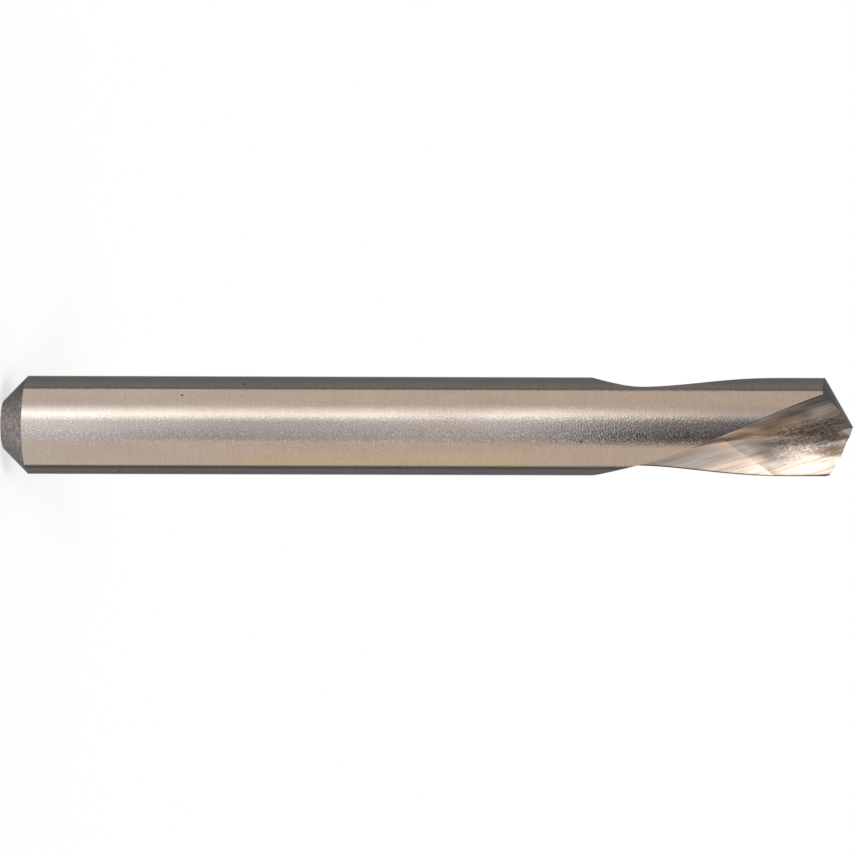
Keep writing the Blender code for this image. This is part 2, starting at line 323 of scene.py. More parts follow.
def wheel_outline():
    """How far the wheel's surface lies inside its full radius, against the distance to one side of its rim."""
    heel_aside, heel_back = arc(HEEL_SIDE_RADIUS, 0.0, SQUARE)
    corner_aside, corner_back = arc(CORNER_RADIUS, 0.0, CORNER_ANGLE)
    rake_aside, rake_back = arc(RAKE_SIDE_RADIUS, CORNER_ANGLE, SQUARE)
    rake_aside = np.append(corner_aside, corner_aside[-1] + rake_aside[1:])
    rake_back = np.append(corner_back, corner_back[-1] + rake_back[1:])
    aside = np.append(-rake_aside[::-1], heel_aside[1:])
    back = np.append(rake_back[::-1], heel_back[1:])
    wall = WHEEL_RADIUS / WALL_STEEPNESS
    aside = [aside[0] - wall, *aside, aside[-1] + wall]
    back = [back[0] + WHEEL_RADIUS, *back, back[-1] + WHEEL_RADIUS]
    return np.array(aside), np.array(back)


WHEEL_OUTLINE = wheel_outline()


def in_wheel(x, y, z, height):
    """A point's place in the wheel that stands at this height: forward round its rim, across it, outward."""
    turn = wheel_turn(height)
    outward = x * np.cos(turn) + y * np.sin(turn)
    aside = x * np.sin(turn) - y * np.cos(turn) - WHEEL_SIDE_STEP
    above = z - height
    tilt = radians(WHEEL_TILT)
    forward = above * cos(tilt) + aside * sin(tilt)
    across = aside * cos(tilt) - above * sin(tilt)
    return forward, across, outward


def gap_to_pass(x, y, z, height):
    """The gap between a point and the wheel that stands at this height, negative inside the wheel."""
    forward, across, outward = in_wheel(x, y, z, height)
    to_hub = np.hypot(forward, FLUTE_FROM_CENTRE + WHEEL_RADIUS - outward)
    return to_hub + np.interp(across, *WHEEL_OUTLINE) - WHEEL_RADIUS


def gap_to_wheel(radius, turn, height):
    """The gap between a point and the wheel on its nearest pass."""
    radius, turn, height = np.broadcast_arrays(radius, turn, height)
    x = (radius * np.cos(turn))[..., None]
    y = (radius * np.sin(turn))[..., None]
    return gap_to_pass(x, y, height[..., None], WHEEL_HEIGHTS).min(axis=-1)


def halve(inside, outside, is_inside):
    """The place between two arrays of places at which is_inside stops being true, by halving."""
    for _ in range(HALVINGS):
        middle = (inside + outside) / 2
        held = is_inside(middle)
        inside = np.where(held, middle, inside)
        outside = np.where(held, outside, middle)
    return (inside + outside) / 2


def deepest_turn(radius, height):
    """The direction in which the wheel cuts deepest at this radius and height, and its gap there."""
    start = wheel_turn(np.maximum(height, LAST_CUT_HEIGHT))
    end = FLOOR_SEARCH_ANGLE + FLOOR_SEARCH_STEP
    turns = start + np.radians(np.arange(-FLOOR_SEARCH_ANGLE, end, FLOOR_SEARCH_STEP))
    gaps = gap_to_wheel(np.asarray(radius)[..., None], turns, height)
    best = gaps.argmin(axis=-1)
    return turns[best], gaps.min(axis=-1)


def run_out_height():
    """The height at which the wheel's last pass leaves the cutter's outer radius."""

    def cuts(height):
        return deepest_turn(CUT_RADIUS, float(height))[1] < 0.0

    return float(halve(np.float64(LAST_CUT_HEIGHT), np.float64(LAST_CUT_HEIGHT - RUN_OUT_SEARCH), cuts))


def flute_section(height):
    """The wheel's swept section at this height: a loop of (x, y, z) points."""

    def reached(radius):
        return deepest_turn(radius, height)[1] < 0.0

    floor = halve(np.float64(CUT_RADIUS), np.float64(0.0), reached)
    share = (np.arange(1, FLUTE_LEVELS + 1) / FLUTE_LEVELS) ** FLUTE_LEVEL_POWER
    radii = floor + (CUT_RADIUS - floor) * share
    middle, _ = deepest_turn(radii, height)

    def cut_away(turn):
        return gap_to_wheel(radii, turn, height) < 0.0

    rake_edge = halve(middle, middle + radians(EDGE_SEARCH_ANGLE), cut_away)
    heel_edge = halve(middle, middle - radians(EDGE_SEARCH_ANGLE), cut_away)
    floor_turn, _ = deepest_turn(floor, height)
    back = np.linspace(rake_edge[-1], heel_edge[-1], FLUTE_BACK_POINTS + 2)[1:-1]
    turns = [*heel_edge[::-1], float(floor_turn), *rake_edge, *back]
    radius = [*radii[::-1], float(floor), *radii, *([CUT_RADIUS] * len(back))]
    return [(r * cos(a), r * sin(a), height) for r, a in zip(radius, turns)]


def flute_cutter():
    """What the wheel sweeps, from where it leaves the bar up past the point, as stacked sections."""
    bottom = run_out_height()
    first_turn, _ = deepest_turn(CUT_RADIUS, bottom)
    heights = np.linspace(bottom, CUT_TOP, FLUTE_STATIONS + 1)[1:].tolist()
    sections = [flute_section(height) for height in heights]
    bm = bmesh.new()
    start = bm.verts.new((CUT_RADIUS * cos(first_turn), CUT_RADIUS * sin(first_turn), bottom))
    loops = [[bm.verts.new(point) for point in section] for section in sections]
    count = len(loops[0])
    for i in range(count):
        j = (i + 1) % count
        bm.faces.new((start, loops[0][j], loops[0][i]))
        for below, over in zip(loops, loops[1:]):
            bm.faces.new((below[i], below[j], over[j], over[i]))
    bm.faces.new(loops[-1])
    bmesh.ops.triangulate(bm, faces=bm.faces)
    mark_surface(bm, FLUTE)
    return new_object("flute_cutter", bm)


def flank_crest():
    """Where beside the axis the flank's arc is highest, and how far it lies below that at the centre."""
    crest = LIP_AHEAD_OF_CENTRE + FLANK_RADIUS * sin(radians(LIP_RELIEF))
    return crest, FLANK_RADIUS - (FLANK_RADIUS**2 - crest**2) ** 0.5


def flank_cutter():
    """The steel above one flank: an arc, convex along the land, extruded along the lip."""
    half_point = radians(POINT_ANGLE / 2)
    reach = 2 * DIAMETER
    crest, drop_to_centre = flank_crest()
    places = np.linspace(-CUT_RADIUS, crest, FLANK_POINTS).tolist()
    outline = [
        (y, drop_to_centre + (FLANK_RADIUS**2 - (y - crest) ** 2) ** 0.5 - FLANK_RADIUS)
        for y in places
    ]
    outline = [*outline, (reach, outline[-1][1]), (reach, reach), (-CUT_RADIUS, reach)]
    along_lip = Vector((-sin(half_point), 0.0, -cos(half_point)))
    upright = Vector((-cos(half_point), 0.0, sin(half_point)))
    centre = Vector((0.0, 0.0, LENGTH))

    def place(side, y, w):
        return centre + side * reach * along_lip + Vector((0.0, y, 0.0)) + w * upright

    bm = bmesh.new()
    ends = [[bm.verts.new(place(side, y, w)) for y, w in outline] for side in (-1, 1)]
    count = len(outline)
    for i in range(count):
        j = (i + 1) % count
        bm.faces.new((ends[0][i], ends[0][j], ends[1][j], ends[1][i]))
    bm.faces.new(ends[0])
    bm.faces.new(ends[1])
    mark_surface(bm, FLANK)
    return new_object("flank_cutter", bm)


def notch_cutter():
    """A wedge with a rounded root. It starts beside the centre of the point and runs out into the flute."""
    half = radians(NOTCH_ANGLE / 2)
    quarter = radians(SQUARE)
    turns = np.linspace(quarter + half, 3 * quarter - half, NOTCH_ROOT_POINTS)
    outline = [(NOTCH_ROOT_RADIUS * (1 + cos(turn)), NOTCH_ROOT_RADIUS * sin(turn)) for turn in turns]
    (first_x, first_y), (last_x, last_y) = outline[0], outline[-1]
    outline.append((last_x + BAR_RADIUS * cos(half), last_y - BAR_RADIUS * sin(half)))
    outline.append((first_x + BAR_RADIUS * cos(half), first_y + BAR_RADIUS * sin(half)))
    bm = bmesh.new()
    base = bm.faces.new([bm.verts.new((x, y, -BAR_RADIUS)) for x, y in outline])
    grown = bmesh.ops.extrude_face_region(bm, geom=[base])["geom"]
    top = [item for item in grown if isinstance(item, bmesh.types.BMVert)]
    bmesh.ops.translate(bm, verts=top, vec=(0.0, 0.0, 2 * BAR_RADIUS))
    lean = Matrix.Rotation(-radians(NOTCH_SLOPE), 4, "Y")
    place = Matrix.Translation((NOTCH_FROM_CENTRE, 0.0, LENGTH))
    face_flute = Matrix.Rotation(radians(NOTCH_TURN), 4, "Z")
    bmesh.ops.transform(bm, matrix=face_flute @ place @ lean, verts=bm.verts)
    mark_surface(bm, NOTCH)
    return new_object("notch_cutter", bm)


def wear(thing, materials):
    """Gives the object these materials, in this order."""
    for material in materials:
        thing.data.materials.append(material)


def cut(bar, cutters):
    """Cuts the bar with each cutter, and again half a turn round. A cut face keeps its cutter's material."""
    tools = []
    for cutter in cutters:
        again = bpy.data.objects.new(cutter.name + "_opposite", cutter.data)
        again.rotation_euler.z = pi
        bpy.context.scene.collection.objects.link(again)
        tools += [cutter, again]
    for tool in tools:
        step = bar.modifiers.new(tool.name, "BOOLEAN")
        step.operation = "DIFFERENCE"
        step.solver = "EXACT"
        step.object = tool
    graph = bpy.context.evaluated_depsgraph_get()
    mesh = bpy.data.meshes.new_from_object(bar.evaluated_get(graph))
    bar.modifiers.clear()
    bar.data = mesh
    for tool in tools:
        bpy.data.objects.remove(tool, do_unlink=True)


def nearest_pass(x, y, z):
    """The height of the wheel's pass that cuts closest to each point, first found roughly and then refined."""
    blocks = []
    for part in np.array_split(np.arange(len(x)), max(1, len(x) // POINTS_AT_ONCE)):
        gaps = gap_to_pass(x[part, None], y[part, None], z[part, None], WHEEL_HEIGHTS)
        blocks.append(WHEEL_HEIGHTS[gaps.argmin(axis=-1)])
    height = np.concatenate(blocks)
    low = np.maximum(height - WHEEL_STEP, LAST_CUT_HEIGHT)
    high = height + WHEEL_STEP
    for _ in range(PASS_HALVINGS):
        third = (high - low) / 3
        nearer_low = gap_to_pass(x, y, z, low + third) < gap_to_pass(x, y, z, high - third)
        high = np.where(nearer_low, high - third, high)
        low = np.where(nearer_low, low, low + third)
    return (low + high) / 2


def unit(vectors):
    """The vectors at length 1."""
    return vectors / np.linalg.norm(vectors, axis=1, keepdims=True)


def flute_side(points):
    """1 for points of the first flute and -1 for those of the flute half a turn round."""
    gaps = []
    for side in (1.0, -1.0):
        x, y, z = points[:, 0] * side, points[:, 1] * side, points[:, 2]
        gaps.append(np.abs(gap_to_pass(x, y, z, nearest_pass(x, y, z))))
    return np.where(gaps[1] < gaps[0], -1.0, 1.0)


def flute_normals(points, side):
    """The wheel's surface normal at points of the flutes, by small steps each way."""
    x, y, z = points[:, 0] * side, points[:, 1] * side, points[:, 2]
    height = nearest_pass(x, y, z)
    steps = np.eye(3) * SLOPE_STEP
    slopes = [
        gap_to_pass(x + dx, y + dy, z + dz, height) - gap_to_pass(x - dx, y - dy, z - dz, height)
        for dx, dy, dz in steps
    ]
    normals = -unit(np.stack(slopes, axis=1))
    normals[:, :2] *= side[:, None]
    return normals


def flank_normals(points):
    """The normal of whichever of the two flanks each point lies on."""
    half_point = radians(POINT_ANGLE / 2)
    crest, drop_to_centre = flank_crest()
    found = []
    for side in (1.0, -1.0):
        x, y, z = points[:, 0] * side, points[:, 1] * side, points[:, 2] - LENGTH
        w = -cos(half_point) * x + sin(half_point) * z
        rise = np.sqrt(FLANK_RADIUS**2 - (y - crest) ** 2)
        miss = np.abs(w - (drop_to_centre + rise - FLANK_RADIUS))
        slope = (y - crest) / FLANK_RADIUS
        level = rise / FLANK_RADIUS
        normal = np.stack([-cos(half_point) * level * side, slope * side, sin(half_point) * level], axis=1)
        found.append((miss, normal))
    nearer = (found[0][0] < found[1][0])[:, None]
    return unit(np.where(nearer, found[0][1], found[1][1]))


def set_normals(mesh):
    """Gives every corner of the mesh the exact normal of the surface that its face belongs to."""
    points = np.array([vert.co for vert in mesh.vertices])
    face_of_corner = np.repeat(np.arange(len(mesh.polygons)), [face.loop_total for face in mesh.polygons])
    surface = np.array([face.material_index for face in mesh.polygons])[face_of_corner]
    normals = np.array([face.normal for face in mesh.polygons])[face_of_corner]
    corner = points[[loop.vertex_index for loop in mesh.loops]]

    on = surface == CYLINDER
    normals[on] = unit(corner[on] * (1.0, 1.0, 0.0))
    # The chamfer's faces lean halfway, and those of the flat end don't lean at all.
    chamfer = (surface == END) & (np.abs(normals[:, 2]) < cos(radians(SQUARE / 4)))
    normals[chamfer] = unit(unit(corner[chamfer] * (1.0, 1.0, 0.0)) - (0.0, 0.0, 1.0))
    on = surface == FLUTE
    normals[on] = flute_normals(corner[on], flute_side(corner[on]))
    on = surface == FLANK
    normals[on] = flank_normals(corner[on])
    mesh.shade_smooth()
    mesh.normals_split_custom_set(normals.tolist())


def set_flute_side(mesh):
    """Stores for each point as high as the flutes which of the two it is near, 1 or -1, and 0 further down."""
    points = np.array([vert.co for vert in mesh.vertices])
    sides = np.zeros(len(points))
    high = points[:, 2] > LAST_CUT_HEIGHT - RUN_OUT_SEARCH
    sides[high] = flute_side(points[high])
    mesh.attributes.new(SIDE_ATTRIBUTE, "FLOAT", "POINT").data.foreach_set("value", sides)


def node(tree, kind, inputs=None, **settings):
    """A new node, with its settings, and its inputs set or linked."""
    new = tree.nodes.new(kind)
    for name, value in settings.items():
        setattr(new, name, value)
    for name, value in (inputs or {}).items():
        if isinstance(value, bpy.types.NodeSocket):
            tree.links.new(value, new.inputs[name])
        else:
            new.inputs[name].default_value = value
    return new


def ramp(tree, factor, stops):
    """A colour ramp through (place, colour) stops."""
    new = node(tree, "ShaderNodeValToRGB", {"Fac": factor})
    elements = new.color_ramp.elements
    while len(elements) < len(stops):
        elements.new(1.0)
    for element, (place, colour) in zip(elements, stops):
        element.position = place
        element.color = (*colour, 1.0)
    return new.outputs["Color"]


def mix(tree, factor, first, second, blend_type="MIX"):
    """The first colour, turned into the second as far as the factor says, or blended with it in another way."""
    new = node(tree, "ShaderNodeMix", data_type="RGBA", blend_type=blend_type, clamp_result=False)
    for socket, value in (("Factor", factor), ("A", first), ("B", second)):
        found = [one for one in new.inputs if one.name == socket and one.enabled][0]
        if isinstance(value, bpy.types.NodeSocket):
            tree.links.new(value, found)
        else:
            found.default_value = value
    return [one for one in new.outputs if one.enabled][0]


def multiply(tree, first, *others):
    """The product of two or more colours."""
    product = first
    for other in others:
        product = mix(tree, 1.0, product, other, "MULTIPLY")
    return product


def grey(level):
    """A colour with its three channels at this level."""
    return (level, level, level, 1.0)


def calculate(tree, operation, *values):
    """A math node's output."""
    return node(tree, "ShaderNodeMath", dict(enumerate(values)), operation=operation).outputs[0]


def graded(tree, value, pairs, full=1.0):
    """A level that follows (value, level) pairs, as a share of full."""
    low, high = pairs[0][0], pairs[-1][0]
    settings = {"Value": value, "From Min": low, "From Max": high}
    place = node(tree, "ShaderNodeMapRange", settings).outputs["Result"]
    stops = [((where - low) / (high - low), (level / full,) * 3) for where, level in pairs]
    return ramp(tree, place, stops)


def noise(tree, place, stretch, detail=2.0, roughness=0.5, distortion=0.0):
    """Noise over a place, at this many features per unit along each axis."""
    stretched = node(tree, "ShaderNodeVectorMath", {0: place, 1: stretch}, operation="MULTIPLY").outputs[0]
    settings = {"Vector": stretched, "Scale": 1.0, "Detail": detail}
    settings |= {"Roughness": roughness, "Distortion": distortion}
    return node(tree, "ShaderNodeTexNoise", settings).outputs["Fac"]


def shades(tree, pattern, share):
    """Grey levels round 1 that follow a noise, this share up and down."""
    return ramp(tree, pattern, masks(((0.3, 1.0 - share), (0.7, 1.0 + share))))


def masks(pairs, place=float):
    """Colour ramp stops for (where, share) pairs that mix or scale colours. place turns where into 0 to 1."""
    return [(place(where), (share,) * 3) for where, share in pairs]


def relief(tree, surface, *layers):
    """Bumps the surface by layers of (height, depth in metres)."""
    normal = None
    for height, depth in layers:
        inputs = {"Height": height, "Distance": depth, "Strength": 1.0}
        if normal is not None:
            inputs["Normal"] = normal
        normal = node(tree, "ShaderNodeBump", inputs).outputs["Normal"]
    tree.links.new(normal, surface.inputs["Normal"])


def steel(name):
    """A metal's material: the material, its tree, and its surface node."""
    material = bpy.data.materials.new(name)
    material.use_nodes = True
    surface = material.node_tree.nodes["Principled BSDF"]
    surface.inputs["Base Color"].default_value = (*TAN_STEEL, 1.0)
    surface.inputs["Metallic"].default_value = 1.0
    return material, material.node_tree, surface


def in_millimetres(tree):
    """The place on the object in millimetres."""
    place = node(tree, "ShaderNodeTexCoord").outputs["Object"]
    return node(tree, "ShaderNodeVectorMath", {0: place, "Scale": 1 / MM}, operation="SCALE").outputs[0]


def ground_cylinder():
    """Centreless-ground steel: faint rings, a few nicks, painted glints, and a grain that is coarser beside the
    flutes.
    """
    material, tree, surface = steel("ground_cylinder")
    surface.inputs["Anisotropic"].default_value = 0.5
    surface.inputs["Anisotropic Rotation"].default_value = 0.25
    tangent = node(tree, "ShaderNodeTangent", direction_type="RADIAL", axis="Z")
    tree.links.new(tangent.outputs["Tangent"], surface.inputs["Tangent"])
    place = in_millimetres(tree)
    axes = node(tree, "ShaderNodeSeparateXYZ", {"Vector": place}).outputs
    height = axes["Z"]

    rings = noise(tree, place, (0.3, 0.3, 7.0), detail=3.0)
    grain = noise(tree, place, (5.5, 5.5, 5.5), detail=1.0)
    clouds = noise(tree, place, (0.5, 0.5, 0.08), detail=3.0)
    off_middle = calculate(tree, "ABSOLUTE", calculate(tree, "SUBTRACT", axes["X"], GRAIN_AND_GLINT_MIDDLE))
    coarse = graded(tree, height, COARSE_UP)
    coarse = calculate(tree, "MULTIPLY", coarse, graded(tree, off_middle, COARSE_BESIDE))
    relief(tree, surface, (rings, 0.003 * MM), (calculate(tree, "MULTIPLY", grain, coarse), 0.026 * MM))

    colour = multiply(tree, (*TAN_STEEL, 1.0), shades(tree, clouds, 0.05))
    colour = multiply(tree, colour, shades(tree, rings, 0.04), shades(tree, grain, 0.09))
    # Painted glints: bright grains in the colour, strongest beside the flutes and near the point.
    painted_glints = graded(tree, off_middle, PAINTED_GLINT_BESIDE)
    painted_glints = calculate(tree, "MULTIPLY", painted_glints, graded(tree, height, PAINTED_GLINT_UP))
    colour = mix(tree, painted_glints, colour, multiply(tree, colour, ramp(tree, grain, PAINTED_GLINT_SHADES)))
    nicks = node(tree, "ShaderNodeTexVoronoi", {"Vector": place, "Scale": 0.22}).outputs["Distance"]
    colour = multiply(tree, colour, ramp(tree, nicks, NICK_SHADES))
    tree.links.new(colour, surface.inputs["Base Color"])
    tree.links.new(graded(tree, coarse, COARSE_ROUGHNESS), surface.inputs["Roughness"])
    return material


def sawn_end():
    """The rough end of the bar and its chamfer: dark steel, darkened more by painted shade, most on one side.
    """
    material, tree, surface = steel("sawn_end")
    place = in_millimetres(tree)
    speckle = noise(tree, place, (2.8, 2.8, 2.8), detail=4.0, roughness=0.75)
    across = node(tree, "ShaderNodeSeparateXYZ", {"Vector": place}).outputs["X"]
    # Painted shade darkens the end, more on one side.
    colour = multiply(tree, ramp(tree, speckle, SAWN_STEEL_AND_PAINTED_SHADE), graded(tree, across, END_PAINTED_SHADE_ACROSS))
    tree.links.new(colour, surface.inputs["Base Color"])
    tree.links.new(graded(tree, speckle, SAWN_ROUGHNESS), surface.inputs["Roughness"])
    relief(tree, surface, (speckle, 0.12 * MM))
    return material


def band(tree, value, half_width):
    """1 where the value is nearly 0, falling to 0 at half_width on each side."""
    return graded(tree, calculate(tree, "ABSOLUTE", value), ((0.0, 1.0), (half_width, 0.0)))


def line_gap(tree, z, x, start, slope):
    """How far x lies above the line that leaves start, a (z, x) pair, at this slope."""
    along = calculate(tree, "SUBTRACT", z, start[0])
    return calculate(tree, "SUBTRACT", x, calculate(tree, "MULTIPLY_ADD", along, slope, start[1]))


def marked_along_line(tree, z, x, colour, mark):
    """The colour with a thin mark along a line laid over it."""
    start, slope, half_width, strength_up, mark_colour = mark
    beside = band(tree, line_gap(tree, z, x, start, slope), half_width)
    return mix(tree, calculate(tree, "MULTIPLY", beside, graded(tree, z, strength_up)), colour, mark_colour)


def ground_flute():
    """Wheel-ground steel. A crease parts the wheel's run-out from the flute proper, which is crinkled."""
    material, tree, surface = steel("ground_flute")
    side = node(tree, "ShaderNodeAttribute", attribute_name=SIDE_ATTRIBUTE).outputs["Fac"]
    axes = node(tree, "ShaderNodeSeparateXYZ", {"Vector": in_millimetres(tree)}).outputs
    x = calculate(tree, "MULTIPLY", axes["X"], side)
    y = calculate(tree, "MULTIPLY", axes["Y"], side)
    z = axes["Z"]
    place = node(tree, "ShaderNodeCombineXYZ", {"X": x, "Y": y, "Z": z}).outputs[0]
    turned = {"Vector": place, "Axis": (0.0, 1.0, 0.0), "Angle": radians(GRINDING_ANGLE)}
    along = node(tree, "ShaderNodeVectorRotate", turned).outputs[0]

    from_heel = line_gap(tree, z, x, HEEL_EDGE, HEEL_EDGE_SLOPE)
    past_crease = calculate(tree, "MULTIPLY", line_gap(tree, z, x, CREASE, CREASE_SLOPE), -1.0 / CREASE_SLOPE)
    proper = graded(tree, past_crease, ((-CREASE_HALF_WIDTH, 0.0), (CREASE_HALF_WIDTH, 1.0)))

    streaks = noise(tree, along, (1.6, 0.1, 0.1), detail=4.0, roughness=0.65)
    lines = noise(tree, along, (3.8, 0.2, 0.12), detail=3.0, roughness=0.6)
    crinkle = noise(tree, along, (5.5, 1.5, 2.4), detail=3.0, roughness=0.6, distortion=0.4)
    crinkled = graded(tree, line_gap(tree, z, x, VALLEY, VALLEY_SLOPE), CRINKLES_FROM_VALLEY)
    crinkled = calculate(tree, "MULTIPLY", crinkled, graded(tree, z, CRINKLES_UP))
    crinkled = calculate(tree, "MULTIPLY", crinkled, proper)
    rough = calculate(tree, "MULTIPLY", crinkle, crinkled)
    relief(tree, surface, (streaks, 0.009 * MM), (lines, 0.004 * MM), (rough, 0.05 * MM))
    tree.links.new(graded(tree, crinkled, CRINKLE_ROUGHNESS), surface.inputs["Roughness"])

    # Painted light and shade: factors that brighten and darken the steel's colour by place on the flute.
    run_out_light = graded(tree, past_crease, RUN_OUT_PAINTED_LIGHT, full=FULL_PAINTED_LIGHT)
    heel_light = graded(tree, from_heel, PAINTED_LIGHT_FROM_HEEL, full=FULL_PAINTED_LIGHT)
    heel_light = mix(tree, graded(tree, z, PLAIN_HEEL_UP), heel_light, grey(PLAIN_HEEL_PAINTED_LIGHT / FULL_PAINTED_LIGHT))
    crease_light = graded(tree, past_crease, PAINTED_LIGHT_FROM_CREASE, full=FULL_PAINTED_LIGHT)
    upper_light = multiply(tree, graded(tree, z, UPPER_PAINTED_LIGHT, full=FULL_PAINTED_LIGHT), UPPER_PAINTED_TINT)
    lower_light = graded(tree, x, LOWER_PAINTED_LIGHT, full=FULL_PAINTED_LIGHT)
    lower_light = multiply(tree, lower_light, graded(tree, z, LOWER_PAINTED_LIGHT_UP))
    by_notch = calculate(tree, "MULTIPLY", graded(tree, x, BY_NOTCH_ACROSS), graded(tree, z, BY_NOTCH_UP))
    lower = calculate(tree, "MAXIMUM", graded(tree, x, LOWER_PART_ACROSS), by_notch)
    part_light = mix(tree, lower, upper_light, lower_light)
    # Each of the three painted lights is a share of the full one, and this makes their product such a share
    # again.
    proper_light = multiply(tree, heel_light, crease_light, part_light, grey(FULL_PAINTED_LIGHT**2))
    painted_light = mix(tree, proper, run_out_light, proper_light)

    colour = multiply(tree, tuple(FULL_PAINTED_LIGHT * channel for channel in TAN_STEEL) + (1.0,), painted_light)
    colour = multiply(tree, colour, ramp(tree, streaks, STREAK_SHADES), ramp(tree, lines, LINE_SHADES))
    colour = mix(tree, crinkled, colour, multiply(tree, colour, ramp(tree, crinkle, PIT_SHADES)))
    for mark in (BURN, FLANK_CORNER_LINE, LIP):
        colour = marked_along_line(tree, z, x, colour, mark)
    radius = calculate(tree, "SQRT", calculate(tree, "MULTIPLY_ADD", x, x, calculate(tree, "MULTIPLY", y, y)))
    rim = graded(tree, radius, RIM_FROM_AXIS)
    colour = mix(tree, rim, colour, multiply(tree, colour, grey(RIM_TONE)))
    tree.links.new(colour, surface.inputs["Base Color"])
    return material


def ground_flank():
    """Fine ground steel, with marks that run along the lip."""
    material, tree, surface = steel("ground_flank")
    surface.inputs["Roughness"].default_value = 0.25
    place = in_millimetres(tree)
    marks = noise(tree, place, (1.2, 6.0, 1.2), detail=3.0)
    grain = noise(tree, place, (5.0, 5.0, 5.0), detail=2.0, roughness=0.6)
    colour = multiply(tree, ramp(tree, marks, FLANK_SHADES), shades(tree, grain, 0.08))
    tree.links.new(colour, surface.inputs["Base Color"])
    relief(tree, surface, (marks, 0.01 * MM), (grain, 0.012 * MM))
    return material


def ground_notch():
    """The thinned web: fine marks along the notch."""
    material, tree, surface = steel("ground_notch")
    surface.inputs["Roughness"].default_value = 0.26
    marks = noise(tree, in_millimetres(tree), (5.0, 5.0, 0.5), detail=3.0)
    tree.links.new(ramp(tree, marks, NOTCH_SHADES), surface.inputs["Base Color"])
    relief(tree, surface, (marks, 0.015 * MM))
    return material


def fine_drill():
    """The drill's dressed surface: the bar with its cuts, in its steels and with exact normals."""
    steels = [ground_cylinder(), sawn_end(), ground_flute(), ground_flank(), ground_notch()]
    drill = turned_bar()
    cutters = [flute_cutter(), flank_cutter(), notch_cutter()]
    for thing in (drill, *cutters):
        wear(thing, steels)
    cut(drill, cutters)
    set_normals(drill.data)
    set_flute_side(drill.data)
    return drill


def card_turn(share, radius):
    """The direction in which a card of this radius is mirrored at this share of the shank's radius above its
    midline: an angle in radians round the drill, from the camera towards the picture's top. What a share goes
    past 1 or -1 is added as it is."""
    edge = max(-1.0, min(1.0, share))
    return 2 * asin(edge) - asin(edge * BAR_RADIUS / radius) + (share - edge)


def card_height(shank_height, radius):
    """The height at which a card of this radius is mirrored at this height of the shank."""
    return shank_height + (shank_height - CAMERA_HEIGHT) * radius / CAMERA_DISTANCE


def up_card(height):
    """The place up a card, 0 to 1, that is mirrored at this height of the shank in millimetres."""
    return (height - CARD_SPAN[0]) / (CARD_SPAN[1] - CARD_SPAN[0])


def across_front(share):
    """The place across the front cards, 0 to 1, that is mirrored at this share of the shank's radius."""
    return (FRONT_SHARES[0] - share) / (FRONT_SHARES[0] - FRONT_SHARES[1])


def card(name, radius, shares, heights, paint):
    """A curved card that stands round the drill and shows in its reflections only. The shares, and the heights
    in millimetres, say where on the shank its edges show. paint takes the places across it and up the shank and
    gives its colour."""
    bm = bmesh.new()
    places = bm.loops.layers.uv.new("place")
    columns = []
    for i in range(CARD_STEPS + 1):
        along = i / CARD_STEPS
        turn = card_turn(shares[0] + (shares[1] - shares[0]) * along, radius)
        foot = Vector((-radius * sin(turn), -radius * cos(turn), 0.0))
        column = []
        for height in heights:
            corner = bm.verts.new(foot + Vector((0.0, 0.0, card_height(height * MM, radius))))
            column.append((corner, (along, up_card(height))))
        columns.append(column)
    for left, right in zip(columns, columns[1:]):
        corners = [left[0], right[0], right[1], left[1]]
        face = bm.faces.new([vert for vert, _ in corners])
        for loop, (_, place) in zip(face.loops, corners):
            loop[places].uv = place
    thing = new_object(name, bm)
    material = bpy.data.materials.new(name)
    material.use_nodes = True
    tree = material.node_tree
    tree.nodes.clear()
    place = node(tree, "ShaderNodeUVMap", uv_map="place").outputs["UV"]
    place = node(tree, "ShaderNodeSeparateXYZ", {"Vector": place})
    colour = paint(tree, place.outputs["X"], place.outputs["Y"])
    light = node(tree, "ShaderNodeEmission", {"Color": colour, "Strength": CARD_STRENGTH})
    node(tree, "ShaderNodeOutputMaterial", {"Surface": light.outputs["Emission"]})
    thing.data.materials.append(material)
    thing.visible_camera = False
    thing.visible_diffuse = False
    thing.visible_transmission = False
    thing.visible_shadow = False


def shown(level, tint=(1.0, 1.0, 1.0)):
    """The colour of a card that shows at this level."""
    return tuple(level * channel / CARD_STRENGTH for channel in tint)


def levels(pairs, place, tint=(1.0, 1.0, 1.0)):
    """Colour ramp stops for (where, level) pairs. place turns where into the ramp's 0 to 1."""
    return [(place(where), shown(level, tint)) for where, level in pairs]


def front_paint(tree, across, up):
    """What the shank's near side mirrors: a long soft light, and below it a grey that darkens to the point."""
    light_up = ramp(tree, up, levels(LIGHT_UP, up_card, LIGHT_TINT))
    light = multiply(tree, light_up, ramp(tree, across, masks(LIGHT_ACROSS, across_front)))
    middle = ramp(tree, up, levels(GREY_MIDDLE_UP, up_card, GREY_TINT))
    lower = ramp(tree, up, levels(GREY_LOWER_UP, up_card, GREY_TINT))
    dull = mix(tree, ramp(tree, across, masks(GREY_LOWER_ACROSS, across_front)), middle, lower)
    by_shank = ramp(tree, across, masks(GREY_ACROSS_SHANK, across_front))
    by_point = ramp(tree, across, masks(GREY_ACROSS_POINT, across_front))
    share_dull = mix(tree, ramp(tree, up, masks(GREY_CHANGES_UP, up_card)), by_shank, by_point)
    plain = ramp(tree, up, [stop for pair, tint in PLAIN_UP for stop in levels((pair,), up_card, tint)])
    warm = ramp(tree, up, masks(WARM_UP, up_card))
    warm = multiply(tree, warm, ramp(tree, across, masks(WARM_ACROSS, across_front)))
    plain = mix(tree, warm, plain, (*shown(1.0, WARM_TINT), 1.0))
    return mix(tree, 1.0, mix(tree, share_dull, plain, dull), light, "ADD")


